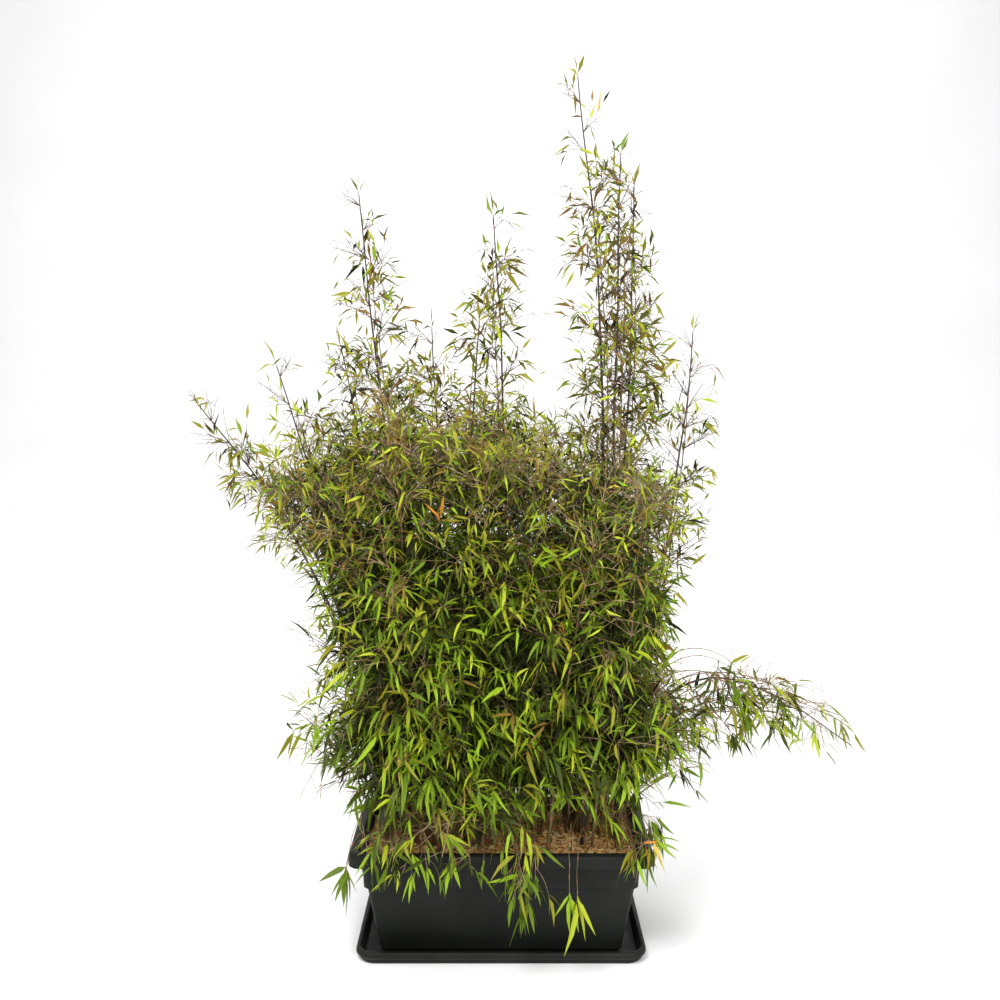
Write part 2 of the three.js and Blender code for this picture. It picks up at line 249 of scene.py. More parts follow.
class Crown:
    """Grids over the crown's box: the mass each small cell lies in, and how deep inside it is.

    Masses are counted from 1, and 0 is outside them all.
    """

    def __init__(self):
        boxes = [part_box(n) for n in MASSES]
        border = (GAP_CELLS + 2) * CELL
        self.low = np.array([b[0] for b in boxes]).min(0) - border
        high = np.array([b[1] for b in boxes]).max(0) + border
        self.shape = np.ceil((high - self.low) / CELL).astype(int)
        self.cells = np.zeros(self.shape, np.int16)
        for index, name in enumerate(MASSES, 1):
            self.fill(name, index)
        self.close_gaps()
        solid = self.cells > 0
        body = np.isin(MASS_KIND[self.cells], kind_numbers(*BODY_KINDS))
        self.depth = layers(solid, DEEPEST_CELLS)
        self.outline = layers(filled(body.any(axis=1)), DEEPEST_CELLS)
        self.margin = spread(solid, STRAY_CELLS)

    def fill(self, name, index):
        """Marks the cells inside one mass, by rays that go straight up through its mesh."""
        tree = BVHTree.FromPolygons(*triangles(name))
        lo, hi = (np.array(c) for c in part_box(name))
        first = np.floor((lo - self.low) / CELL).astype(int)
        last = np.ceil((hi - self.low) / CELL).astype(int)
        for i in range(first[0], last[0] + 1):
            for j in range(first[1], last[1] + 1):
                x, y = self.low[0] + i * CELL, self.low[1] + j * CELL
                heights = []
                start = Vector((x, y, lo[2] - CELL))
                while (hit := tree.ray_cast(start, Vector(UP))[0]) is not None:
                    heights.append(hit.z)
                    start = Vector((x, y, hit.z + PAST_HIT))
                for bottom, top in zip(heights[::2], heights[1::2]):
                    k = np.ceil((np.array([bottom, top]) - self.low[2]) / CELL).astype(int)
                    self.cells[i, j, k[0] : k[1]] = index

    def close_gaps(self):
        """Gives narrow gaps between masses to the masses beside them."""
        grown = spread(self.cells, GAP_CELLS)
        open_air = spread(grown == 0, GAP_CELLS)
        self.cells = np.where(open_air, self.cells, grown)

    def look(self, grid, points):
        """The value of a grid at each point, and 0 outside the grid."""
        at = np.round((points - self.low) / CELL).astype(int)
        outside = ((at < 0) | (at >= self.shape)).any(-1)
        at = np.clip(at, 0, self.shape - 1)
        return np.where(outside, 0, grid[at[..., 0], at[..., 1], at[..., 2]])

    def mass(self, points):
        return self.look(self.cells, points)

    def beside(self, points):
        """True in a mass or close beside one."""
        return self.look(self.margin, points) > 0

    def deep(self, points):
        """How far each point is inside the masses."""
        return self.look(self.depth, points) * CELL

    def from_edge(self, points):
        """How far each point is inside the outline of the crown's body, seen from the front."""
        column = np.broadcast_to(self.outline[:, None], self.shape)
        return self.look(column, points) * CELL

    def spots(self, index, count, from_share, to_share):
        """Random cells of one mass, between two shares of its height."""
        cells = np.argwhere(self.cells == index)
        height = (cells[:, 2] - cells[:, 2].min()) / max(np.ptp(cells[:, 2]), 1)
        cells = cells[(height >= from_share) & (height <= to_share)]
        return self.low + CELL * cells[RNG.integers(0, len(cells), count)]


def limb(node, near=None):
    """A cane's middle line and radii, from the rings of its mesh.

    It starts at its foot, or at its end beside the point near.
    """
    corners, faces = triangles(node)
    unique, index = np.unique(corners.round(6), axis=0, return_inverse=True)
    index = index.ravel()
    beside = {i: set() for i in range(len(unique))}
    for face in faces:
        for a, b in zip(face, face[1:] + face[:1]):
            beside[index[a]].add(index[b])
            beside[index[b]].add(index[a])
    if near is None:
        near = unique[unique[:, 2] < unique[:, 2].min() + SAME_HEIGHT].mean(0)
    hub = int(np.linalg.norm(unique - near, axis=1).argmin())
    seen, ring, centres, radii = {hub}, beside[hub], [], []
    while len(ring) > 1:
        members = unique[sorted(ring)]
        centres.append(members.mean(0))
        radii.append(np.linalg.norm(members - members.mean(0), axis=1).mean())
        seen |= ring
        ring = set().union(*(beside[i] for i in ring)) - seen
    return np.array(centres), np.array(radii)


CLUMP_SIZE = 0.075
CLUMP_WAVES = 6


def clumps(points):
    """A smooth random field over space, about 0 on average and 1 in spread: its low parts are openings."""
    total = np.zeros(len(points))
    for _ in range(CLUMP_WAVES):
        along = unit(CLUMP_RNG.normal(0, 1, 3))
        wave = 2 * math.pi / (CLUMP_SIZE * CLUMP_RNG.uniform(1.2, 3.2))
        total += np.sin(points @ along * wave + CLUMP_RNG.uniform(0, 6.3))
    return total / math.sqrt(CLUMP_WAVES / 2)


# ---- canes ----

MAIN_STEP = 0.012  # between the points of a main cane's line
INNER_STEP = 0.026  # and of the others
MAIN_JOINTS = (0.12, 0.06)  # between the nodes of a main cane, at its foot and at its tip
INNER_JOINTS = (0.09, 0.04)
HANGING_JOINTS = (0.06, 0.035)
MAIN_TIP = 0.0014  # radius of a main cane's tip
INNER_TIP = 0.0008
HANGING_TIP = 0.0007
FIRST_NODE = 0.03  # height of the first node
*SOIL_HALF, SOIL_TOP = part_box("soil")[1]
ROOTED = 0.01  # how far below the soil's top a cane starts
WALL_CLEAR = (0.055, 0.035)  # canes keep this far from the soil's ends and sides
CANE_AREA = [half - clear for half, clear in zip(SOIL_HALF, WALL_CLEAR)]
STUB_REACH = 0.95  # length of the cane that a short stem grows on to
CLUMP_FRONT = 0.075  # how far the clump comes forward on the left
CLEAR_FROM = (0.0, 0.12)  # it draws back between these places along the planter


def cane(points, foot_radius, tip_radius, twisting=0.004, step=INNER_STEP, joints=INNER_JOINTS):
    """A cane's record: its line with a slight wander, its radii, and the places of its nodes."""
    line = resample(points, step)
    share = np.linspace(0, 1, len(line))
    phase = RNG.uniform(0, 2 * math.pi, 4)
    wander = np.stack([np.sin(9 * share + phase[0]) + 0.6 * np.sin(23 * share + phase[1]),
                       np.sin(8 * share + phase[2]) + 0.6 * np.sin(21 * share + phase[3])], axis=1)
    line[:, :2] += twisting * wander * (share * (1.2 - share))[:, None] * 2
    radius = foot_radius + (tip_radius - foot_radius) * share**1.2
    length = step * (len(line) - 1)
    places, at = [], FIRST_NODE
    while at < length:
        places.append(int(at / step))
        at += (joints[0] + (joints[1] - joints[0]) * at / length) * RNG.uniform(0.85, 1.15)
    return dict(line=line, radius=radius, nodes=places)


def bent(foot, tip, rise, out):
    """Points of a line from foot to tip that first goes up, by the share rise of the height.

    out is the share of the way out that it has leaned by then.
    """
    foot, tip = np.array(foot), np.array(tip)
    knee = foot + [out * (tip - foot)[0], out * (tip - foot)[1], rise * (tip - foot)[2]]
    t = np.linspace(0, 1, 7)[:, None]
    return (1 - t) ** 2 * foot + 2 * t * (1 - t) * knee + t**2 * tip


def over(foot, tip, apex):
    """Points of a shoot that rises from foot to a height apex, and hangs over to tip."""
    foot, tip = np.array(foot), np.array(tip)
    t = np.linspace(0, 1, 9)[:, None]
    first = foot + [0.25 * (tip - foot)[0], 0.2 * (tip - foot)[1], 1.35 * (apex - foot[2])]
    second = tip + [-0.12 * (tip - foot)[0], -0.05 * (tip - foot)[1], 1.1 * (apex - tip[2])]
    left = 1 - t
    return left**3 * foot + 3 * t * left**2 * first + 3 * t**2 * left * second + t**3 * tip


def foot_under(tip):
    """Where a cane that reaches tip comes up. The clump keeps clear of the soil's front on the right."""
    x = np.clip(0.62 * tip[0] + RNG.normal(0, 0.05), -CANE_AREA[0], CANE_AREA[0])
    front = -CLUMP_FRONT * np.clip((CLEAR_FROM[1] - x) / (CLEAR_FROM[1] - CLEAR_FROM[0]), 0, 1)
    y = np.clip(0.4 * tip[1] + RNG.normal(0.01, 0.03), front, CANE_AREA[1])
    return np.array([x, y, SOIL_TOP - ROOTED])


def main_canes():
    """The CAD frame's canes. A limb that is split at its bend is one cane again."""
    canes = []
    for name in CANES:
        if name + END in NODES:
            first, radii = limb(name)
            rest, _ = limb(name + END, near=first[-1])
            centres = np.vstack([first[:-1], (first[-1:] + rest[:1]) / 2, rest[1:]])
        elif name.endswith(END):
            continue
        else:
            centres, radii = limb(name)
        canes.append(cane(centres, radii[0], MAIN_TIP, twisting=0.005, step=MAIN_STEP, joints=MAIN_JOINTS))
    return canes


def stub_canes():
    """The CAD frame's short stems, each grown on to a cane."""
    canes = []
    for name in STUBS:
        centres, radii = limb(name)
        lean = unit(centres[-1] - centres[0])
        tip = centres[0] + lean * STUB_REACH
        canes.append(cane(bent(centres[0], tip, 0.55, 0.4), radii[0], 0.001))
    return canes


def hanging_shoot(tip):
    """A thin shoot that hangs from the clump's front over the rim to tip."""
    foot_x = np.clip(tip[0] + RNG.normal(0, 0.03), -CANE_AREA[0], CANE_AREA[0])
    foot = np.array([foot_x, -CANE_AREA[1] * RNG.uniform(0.6, 0.9), SOIL_TOP - ROOTED])
    apex = SOIL_TOP + RNG.uniform(0.06, 0.15)
    thick = RNG.uniform(0.0011, 0.0016)
    return cane(over(foot, tip, apex), thick, HANGING_TIP, twisting=0.003, joints=HANGING_JOINTS)


def bough_shoot(tip):
    """A thin shoot that arches from the clump's right end out to tip."""
    start = np.array([RNG.uniform(0.18, 0.31), RNG.uniform(-0.03, 0.08), SOIL_TOP - ROOTED])
    apex = tip[2] + RNG.uniform(0.0, 0.1)
    return cane(over(start, tip, apex), 0.0026, HANGING_TIP)


def inner_cane(tip):
    """A cane that comes up from the clump to tip, hidden in the leaves for most of its length."""
    lean = RNG.uniform(0.12, 0.4)
    return cane(bent(foot_under(tip), tip, 0.62, lean), RNG.uniform(0.0022, 0.004), INNER_TIP)


def cane_beside(mass):
    """A thinner cane beside the main one of a plume, a little shorter."""
    centres, radii = limb(mass.replace("plume", "cane"))
    line = resample(centres, MAIN_STEP)
    line = line[: int(len(line) * RNG.uniform(0.85, 0.98))]
    away = np.append(RNG.uniform(0.012, 0.036, 2) * RNG.choice([-1, 1], 2), 0)
    return cane(line + away * np.linspace(1, 0.4, len(line))[:, None], 0.7 * radii[0], INNER_TIP)


SPRAY_SPREAD = 0.4  # the shoots of a spray end in this share of its width

# How the grown canes of a kind of mass are made, and between which shares of its height they end.
SHOOTS = {
    "crown": (inner_cane, 0.6, 0.97),
    "waist": (inner_cane, 0.25, 0.97),
    "low": (inner_cane, 0.25, 0.97),
    "side": (inner_cane, 0.25, 0.97),
    "bough": (bough_shoot, 0.3, 0.9),
    "drape": (hanging_shoot, 0.15, 0.9),
    "spray": (hanging_shoot, 0.6, 0.9),
}


def grown_canes(crown):
    """The canes grown for each mass beside those of the CAD frame."""
    canes = []
    for index, name in enumerate(MASSES, 1):
        kind = kind_of(name)
        count = HABITS[kind]["shoots"]
        if kind == "plume":
            canes += [cane_beside(name) for _ in range(count)]
            continue
        make, lowest, highest = SHOOTS[kind]
        tips = crown.spots(index, count, lowest, highest)
        if kind == "spray":
            low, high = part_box(name)
            middle = (low.x + high.x) / 2
            tips[:, 0] = middle + SPRAY_SPREAD * (tips[:, 0] - middle)
        canes += [make(tip) for tip in tips]
    return canes


# ---- branches, twigs and leaves ----

BRANCH_POINTS = 4
BRANCH_STRAYS = 0.45  # share of the branches that may stray beyond the masses
TWIG_PLACES = np.array([0.3, 0.5, 0.7, 0.86, 1.0])  # as shares of a branch
SURFACE_KEEPS = 0.34  # share of the twigs left at a mass's surface
BARE_TWIGS = 0.35  # share of the others that stay without leaves
EDGE_KEEPS = 0.32  # share of the branches, and again of the twigs, left at the outline's edge
OPENING = -1.2  # nodes are thinned out where the field of clumps is below this,
OPENING_KEEPS = 0.3  # to this share,
UNTHINNED = ["plume", "bough", "drape"]  # but for these kinds
MOST_LEAVES = 5  # on one twig
LONG_LEAVES = 0.12  # share of the leaves that are longer than the rest
PAST_BOX = 0.014
FARTHEST = (np.array(CAD_BOX[0]) - PAST_BOX, np.array(CAD_BOX[1]) + PAST_BOX)
POT_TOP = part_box("planter")[1]
HANGING = 0.35  # kinds that hang more than this may grow down over the pot
BARE_OVER_POT = 0.015  # leafy branches thin out towards the pot's rim, over twice this height


def cane_nodes(canes, crown):
    """Every node of every cane that lies in a mass: place, axis, share of the cane, bearing and kind."""
    place, axis, share, bearing = [], [], [], []
    for c in canes:
        line = c["line"]
        first = RNG.uniform(0, 2 * math.pi)
        for count, i in enumerate(c["nodes"]):
            ahead, behind = min(i + 1, len(line) - 1), max(i - 1, 0)
            place.append(line[i])
            axis.append(line[ahead] - line[behind])
            share.append(i / (len(line) - 1))
            bearing.append(first + math.pi * (count % 2))
    place = np.array(place)
    mass = crown.mass(place)
    full = np.isin(MASS_KIND[mass], kind_numbers(*UNTHINNED))
    kept = (mass > 0) & (full | (clumps(place) > OPENING) | (RNG.random(len(place)) < OPENING_KEEPS))
    kind = MASS_KIND[mass[kept]]
    return place[kept], unit(np.array(axis)[kept]), np.array(share)[kept], np.array(bearing)[kept], kind


def branches(place, axis, share, bearing, kind, crown):
    """Lines, radii and kinds of a fan of branches at each node. A branch stops where the masses end."""
    low, high = habit(kind, "fan", 0), habit(kind, "fan", 1)
    fan = np.floor(low + (high - low + 1) * RNG.random(len(kind))).astype(int)
    of = np.repeat(np.arange(len(kind)), fan)
    kind, share = kind[of], share[of]
    angle = np.radians(between(kind, "rise"))
    heading = turned(axis[of], angle, bearing[of] + RNG.uniform(-1.5, 1.5, len(of)))
    length = between(kind, "reach") * (1.08 - 0.5 * share**3)
    droop = habit(kind, "droop")
    points = [place[of]]
    steps = BRANCH_POINTS - 1
    direction = heading
    for step in range(steps):
        direction = unit(direction - UP * (droop * (0.2 + 0.14 * step))[:, None]
                         + RNG.normal(0, 0.08, direction.shape))
        points.append(points[-1] + direction * (length / steps)[:, None])
    line = np.stack(points, axis=1)
    strays = RNG.random((len(of), 1)) < BRANCH_STRAYS
    inside = (crown.mass(line) > 0) | (strays & crown.beside(line))
    reached = np.where(inside.all(1), steps, np.argmin(inside, axis=1))
    keep = np.clip(reached / steps, 0.3, 1)[:, None, None]
    line = line[:, :1] + (line - line[:, :1]) * keep
    thick = 0.0010 + 0.0006 * RNG.random(len(of)) * (length > 0.1)
    kept = clear_of_pot(line[:, -1], kind) & (RNG.random(len(of)) < fullness(line[:, -1], kind, crown))
    kept &= within_reach(line[:, -1])
    return line[kept], thick[kept], kind[kept]


def fullness(points, kind, crown):
    """The share of the growth at each point that the ragged edge of the crown's outline keeps."""
    ragged = habit(kind, "ragged")
    inward = np.where(ragged > 0, crown.from_edge(points) / np.maximum(ragged, CELL), 1)
    return EDGE_KEEPS + (1 - EDGE_KEEPS) * np.clip(inward, 0, 1)


def twigs_on(line, kind, crown):
    """Twigs along each branch and at its end, and their kinds: the leafy ones, and then the bare ones."""
    count = len(TWIG_PLACES)
    of = np.repeat(np.arange(len(line)), count)
    slot = np.tile(np.arange(count), len(line))
    kept = (slot == count - 1) | (RNG.random(len(of)) < habit(kind, "twigs")[of])
    of, slot = of[kept], slot[kept]
    at = TWIG_PLACES[slot] * (BRANCH_POINTS - 1)
    whole = np.minimum(at.astype(int), BRANCH_POINTS - 2)
    part = (at - whole)[:, None]
    a, b = line[of, whole], line[of, whole + 1]
    start = a + (b - a) * part
    along = unit(b - a)
    kind = kind[of]
    last = slot == count - 1
    angle = np.where(last, 0.12, RNG.uniform(0.5, 1.0, len(of)))
    heading = turned(along, angle, math.pi * slot + RNG.uniform(-0.7, 0.7, len(of)))
    heading = unit(heading - UP * (0.35 * habit(kind, "droop"))[:, None])
    end = start + heading * between(kind, "twig")[:, None]
    share = SURFACE_KEEPS + (1 - SURFACE_KEEPS) * crown.deep(end) / np.maximum(habit(kind, "airy"), CELL)
    thinned = RNG.random(len(of)) < np.minimum(share, 1) * fullness(end, kind, crown)
    inside = crown.beside(end) & clear_of_pot(end, kind) & within_reach(end)
    leafy, bare = inside & thinned, inside & ~thinned & (RNG.random(len(of)) < BARE_TWIGS)
    twig = np.stack([start, end], axis=1)
    return twig[leafy], kind[leafy], twig[bare], kind[bare]


def cane_ends(canes, crown, main):
    """The last stretch of each cane that ends in a mass, as a twig, so that each cane ends in a spray.

    The first canes, as many as main, are those of the CAD frame, and end in longer leaves.
    """
    last = np.array([c["line"][-2:] for c in canes])
    kind = MASS_KIND[crown.mass(last[:, 1])]
    inside = kind >= 0
    plume, tip = kind_numbers("plume", "tip")
    kind[:main][kind[:main] == plume] = tip
    return last[inside], kind[inside]


def within_reach(points):
    """True for points that are hardly beyond the box of the CAD frame."""
    return ((points > FARTHEST[0]) & (points < FARTHEST[1])).all(axis=1)


def in_pot(points):
    """True for points inside the planter's outline, below its rim."""
    beside = np.abs(points) < [POT_TOP.x, POT_TOP.y, np.inf]
    return beside.all(1) & (points[:, 2] < POT_TOP.z)


def clear_of_pot(points, kind):
    """False for points in the pot, and for most of those just over it that aren't on a hanging shoot."""
    height = (points[:, 2] - POT_TOP.z - BARE_OVER_POT) / BARE_OVER_POT
    hanging = habit(kind, "hang") > HANGING
    return ~in_pot(points) & (hanging | (RNG.random(len(points)) < height))


def leaves_on(twig, kind, crown):
    """Leaves on each twig, left and right in turn and one at its end. spray is the twig's number."""
    number = np.floor(between(kind, "leaves") + RNG.random(len(kind))).astype(int)
    number = np.clip(number, 1, MOST_LEAVES)
    of = np.repeat(np.arange(len(kind)), number)
    rank = np.concatenate([np.arange(n) for n in number])
    left = number[of] - 1 - rank
    kind = kind[of]
    back = left * RNG.uniform(0.16, 0.26, len(of))
    stalk = twig[of, 1] - twig[of, 0]
    heading = unit(stalk)
    start = twig[of, 1] - stalk * np.minimum(back, 0.9)[:, None]
    plane = RNG.uniform(0, 2 * math.pi, len(number))[of]
    angle = np.where(left == 0, RNG.uniform(0.05, 0.3, len(of)), RNG.uniform(0.45, 0.95, len(of)))
    out = turned(heading, angle, plane + math.pi * (rank % 2) + RNG.uniform(-0.4, 0.4, len(of)))
    hang = np.clip(habit(kind, "hang") + RNG.normal(0, 0.28, len(of)), 0, 0.97)
    hang = hang * np.where(left == 0, 0.5, 1)
    out = unit(out * (1 - hang)[:, None] - UP * hang[:, None] + RNG.normal(0, 0.1, out.shape))
    length = between(kind, "blade") * np.where(left == 0, 1.05, RNG.uniform(0.7, 1.05, len(of)))
    length *= np.where(RNG.random(len(of)) < LONG_LEAVES, 1.3, 1.0)
    width = length * between(kind, "slim")
    tip = start + out * length[:, None]
    strays = RNG.random(len(of)) < habit(kind, "stray")
    kept = (crown.beside(tip) | strays) & ~in_pot(tip) & within_reach(tip)
    leaves = dict(start=start, out=out, length=length, width=width, kind=kind, spray=of)
    return {key: value[kept] for key, value in leaves.items()}


# ---- meshes from arrays ----


def add(name, data):
    """A new object in the scene."""
    made = bpy.data.objects.new(name, data)
    bpy.context.scene.collection.objects.link(made)
    return made


def fill_mesh(name, corners, faces, materials, slots=None, uv=None, smooth=True):
    """A mesh object from arrays of corners and of faces with equal numbers of sides."""
    mesh = bpy.data.meshes.new(name)
    mesh.vertices.add(len(corners))
    mesh.vertices.foreach_set("co", corners.astype(np.float32).ravel())
    sides = faces.shape[1]
    mesh.loops.add(faces.size)
    mesh.loops.foreach_set("vertex_index", faces.astype(np.int32).ravel())
    mesh.polygons.add(len(faces))
    mesh.polygons.foreach_set("loop_start", np.arange(0, faces.size, sides, dtype=np.int32))
    if slots is not None:
        mesh.polygons.foreach_set("material_index", slots.astype(np.int32))
    mesh.update(calc_edges=True)
    mesh.polygons.foreach_set("use_smooth", np.full(len(faces), smooth))
    if uv is not None:
        layer = mesh.uv_layers.new(name="UVMap")
        layer.data.foreach_set("uv", uv[faces.ravel()].astype(np.float32).ravel())
    mesh.validate()
    for material in materials:
        mesh.materials.append(material)
    return add(name, mesh)


def tubes(lines, radii, sides):
    """Corners and faces of tapering tubes along n lines of m points each, with a radius for each point."""
    n, m, _ = lines.shape
    tangent = unit(np.gradient(lines, axis=1))
    side, _ = across(unit(lines[:, -1] - lines[:, 0]))
    side = np.repeat(side[:, None], m, axis=1)
    side = unit(side - tangent * (side * tangent).sum(-1, keepdims=True))
    front = np.cross(tangent, side)
    angle = np.arange(sides) * 2 * math.pi / sides
    ring = side[:, :, None] * np.cos(angle)[:, None] + front[:, :, None] * np.sin(angle)[:, None]
    corners = lines[:, :, None] + ring * radii[:, :, None, None]
    index = np.arange(n * m * sides).reshape(n, m, sides)
    after = np.roll(index, -1, axis=2)
    faces = np.stack([index[:, :-1], after[:, :-1], after[:, 1:], index[:, 1:]], axis=-1)
    return corners.reshape(-1, 3), faces.reshape(-1, 4)


# A leaf's cross sections: share of its length, and half width as a share of its greatest.
LEAF_LARGE = ((0.0, 0.0), (0.24, 1.0), (0.62, 0.8), (1.0, 0.0))
LEAF_SMALL = ((0.0, 0.0), (0.4, 1.0), (1.0, 0.0))
LEAF_FOLD = 0.35  # how far a leaf's edges rise over its midrib, over its half width


def leaf_mesh(name, leaves, slots, materials, sections):
    """The leaves as one mesh. Each is pointed, folded along its midrib, and curved down and aside."""
    start, out = leaves["start"], leaves["out"]
    length, width = leaves["length"][:, None], leaves["width"][:, None]
    n = len(start)
    flat = unit(np.cross(out, UP + RNG.normal(0, 0.25, out.shape)))
    face = np.cross(flat, out)
    roll = np.where(RNG.random(n) < 0.7, RNG.normal(0, 0.5, n), RNG.uniform(-1.6, 1.6, n))[:, None]
    side = flat * np.cos(roll) + face * np.sin(roll)
    face = np.cross(side, out)
    face = np.where(face[:, 2:] < 0, -face, face)
    sag = RNG.uniform(0.05, 0.6, n)[:, None] * (1 - 0.75 * np.abs(out[:, 2:]))
    curl = RNG.normal(0, 0.18, n)[:, None]
    rows, uv = [], []
    for at, wide in sections:
        spine = start + out * (at * length) + (side * curl - UP * sag) * (length * at**2)
        half = 0.5 * width * wide
        if wide == 0:
            rows.append(spine[:, None])
            uv.append((0.5, at))
        else:
            lift = face * (half * LEAF_FOLD)
            edges = spine - side * half + lift, spine + side * half + lift
            rows.append(np.stack([edges[0], spine, edges[1]], axis=1))
            uv += [(0.0, at), (0.5, at), (1.0, at)]
    corners = np.concatenate(rows, axis=1)
    per = corners.shape[1]
    pattern = [(0, 2, 1), (0, 3, 2)]
    for a in range(1, per - 4, 3):
        pattern += [(a, a + 1, a + 4), (a, a + 4, a + 3), (a + 1, a + 2, a + 5), (a + 1, a + 5, a + 4)]
    pattern += [(per - 4, per - 3, per - 1), (per - 3, per - 2, per - 1)]
    faces = (np.array(pattern)[None] + per * np.arange(n)[:, None, None]).reshape(-1, 3)
    uv = np.tile(np.array(uv), (n, 1))
    return fill_mesh(name, corners.reshape(-1, 3), faces, materials, np.repeat(slots, len(pattern)), uv)


# ---- materials ----


def srgb(*channels):
    """A colour given in 0..255 display values, as linear light."""
    c = np.array(channels) / 255
    linear = np.where(c <= 0.04045, c / 12.92, ((c + 0.055) / 1.055) ** 2.4)
    return (*linear, 1.0)


class Surface:
    """A principled material, and short calls for the nodes that drive it."""

    def __init__(self, name, colour, roughness):
        self.material = bpy.data.materials.new(name)
        self.material.use_nodes = True
        self.tree = self.material.node_tree
        self.shader = self.tree.nodes["Principled BSDF"]
        self.shader.inputs["Base Color"].default_value = colour
        self.shader.inputs["Roughness"].default_value = roughness
        self.material.diffuse_color = colour

    def node(self, kind, **inputs):
        made = self.tree.nodes.new(kind)
        for key, value in inputs.items():
            socket = made.inputs[key.replace("_", " ")]
            if isinstance(value, bpy.types.NodeSocket):
                self.tree.links.new(value, socket)
            else:
                socket.default_value = value
        return made

    def place(self, output="Object"):
        return self.node("ShaderNodeTexCoord").outputs[output]

    def noise(self, scale, detail, stretch=None):
        vector = self.place()
        if stretch:
            vector = self.node("ShaderNodeMapping", Vector=vector, Scale=stretch).outputs["Vector"]
        made = self.node("ShaderNodeTexNoise", Vector=vector, Scale=scale, Detail=detail)
        return made.outputs["Fac"]

    def mottle(self, value, *stops):
        """Drives the base colour from one stop, a value and its colour, to the other."""
        made = self.node("ShaderNodeValToRGB", Fac=value)
        for element, (at, colour) in zip(made.color_ramp.elements, stops):
            element.position = at
            element.color = colour
        self.drive("Base Color", made.outputs["Color"])

    def span(self, value, low, high):
        """A noise's value, mostly from 0.3 to 0.7, spread between low and high."""
        ends = dict(From_Min=0.3, From_Max=0.7, To_Min=low, To_Max=high)
        return self.node("ShaderNodeMapRange", Value=value, **ends).outputs["Result"]

    def drive(self, key, value):
        self.tree.links.new(value, self.shader.inputs[key])

    def bump(self, height, strength, distance):
        made = self.node("ShaderNodeBump", Height=height, Strength=strength, Distance=distance)
        self.drive("Normal", made.outputs["Normal"])


# The leaf colours, and how often each of them, in this order, is dealt to a spray of each kind.
LEAF_COLOURS = {
    "bronze": srgb(122, 98, 36),
    "olive": srgb(132, 130, 30),
    "yellow_green": srgb(162, 174, 40),
    "fresh": srgb(134, 164, 30),
    "mid": srgb(96, 120, 22),
    # a dark leaf green, partly painted shade: dealt most to sprays in the crown's shade
    "deep": srgb(60, 72, 14),
    "straw": srgb(212, 186, 88),
    "rust": srgb(200, 128, 38),
    # painted shade: a near-black leaf colour for sprays deep in the crown, and some among the lit ones
    "shade": srgb(32, 35, 8),
}
DEALT = {
    "plume": (26, 42, 14, 4, 10, 8, 1, 0, 5),
    "crown": (17, 38, 25, 9, 11, 5, 1, 0, 3),
    "waist": (5, 18, 21, 24, 26, 9, 1, 0.5, 0),
    "low": (2, 10, 18, 32, 28, 9, 1, 0.5, 0),
    "side": (3, 14, 16, 26, 30, 10, 1, 0.5, 0),
    "bough": (2, 12, 16, 28, 32, 12, 0, 0.5, 0),
    "drape": (2, 12, 8, 24, 36, 16, 1, 0.5, 4),
    "spray": (0, 2, 3, 32, 48, 14, 0, 0, 0),
    "tip": (14, 56, 0, 0, 22, 8, 0, 0, 0),
}
SHADED = (0, 2, 0, 2, 20, 38, 0, 0, 38)  # and to the sprays in the shade
# Sprays turn from the lit colours to the shaded ones, which are painted shade, between these depths, below
# this height.
SHADE_DEPTH = (0.028, 0.12)
SHADE_FREE_HEIGHT = 1.5
SHADE_FADES = 0.4  # the shade is full this far below that height
MOST_SHADED = 0.95
BARK_PAINTED_SHADE_FROM = 0.6  # wood in more shade than this gets the darker bark, which is painted shade
HIDDEN_SHADE = 0.8  # leaves in more shade than this are hardly seen, and are of the simple shape


def leaf_material(name, colour):
    s = Surface(f"leaf_{name}", colour, 0.5)
    veins = s.node("ShaderNodeTexWave", Vector=s.place("UV"), Scale=2.6, Distortion=0.3)
    s.bump(veins.outputs["Fac"], 0.25, 0.0004)
    s.drive("Roughness", s.span(s.noise(60.0, 2.0), 0.42, 0.6))
    s.shader.inputs["Specular IOR Level"].default_value = 0.2
    return s.material


def bark_material(name, dark, light, scale=30.0):
    s = Surface(name, dark, 0.5)
    s.mottle(s.noise(scale, 5.0, (1, 1, 0.25)), (0.38, dark), (0.66, light))
    s.drive("Roughness", s.span(s.noise(3 * scale, 3.0), 0.4, 0.62))
    s.bump(s.noise(9 * scale, 4.0, (1, 1, 0.12)), 0.35, 0.0006)
    return s.material


def plastic_material():
    s = Surface("planter_plastic", srgb(28, 30, 27), 0.5)
    s.mottle(s.noise(5.0, 6.0), (0.35, srgb(23, 25, 22)), (0.7, srgb(33, 35, 31)))
    s.drive("Roughness", s.span(s.noise(14.0, 6.0), 0.42, 0.58))
    s.bump(s.noise(900.0, 2.0), 0.12, 0.0004)
    s.shader.inputs["Specular IOR Level"].default_value = 0.14
    return s.material


def mulch_material(name, dark, light):
    s = Surface(name, dark, 0.9)
    s.mottle(s.noise(90.0, 6.0), (0.35, dark), (0.68, light))
    s.bump(s.noise(600.0, 5.0, (1, 1, 3)), 0.7, 0.0012)
    return s.material


# ---- planter, saucer and soil ----

MM = 0.001
CORNER_STEPS = 12
TIGHTEST_CORNER = 0.006
SHARP_EDGE = math.radians(50)


def rounded_ring(half_length, half_depth, corner, z):
    """Points round a rectangle with rounded corners, at height z."""
    ring = []
    for quarter in range(4):
        side_x = 1 if quarter in (0, 3) else -1
        side_y = 1 if quarter < 2 else -1
        for step in range(CORNER_STEPS + 1):
            angle = (quarter + step / CORNER_STEPS) * math.pi / 2
            ring.append((side_x * (half_length - corner) + corner * math.cos(angle),
                         side_y * (half_depth - corner) + corner * math.sin(angle), z))
    return ring


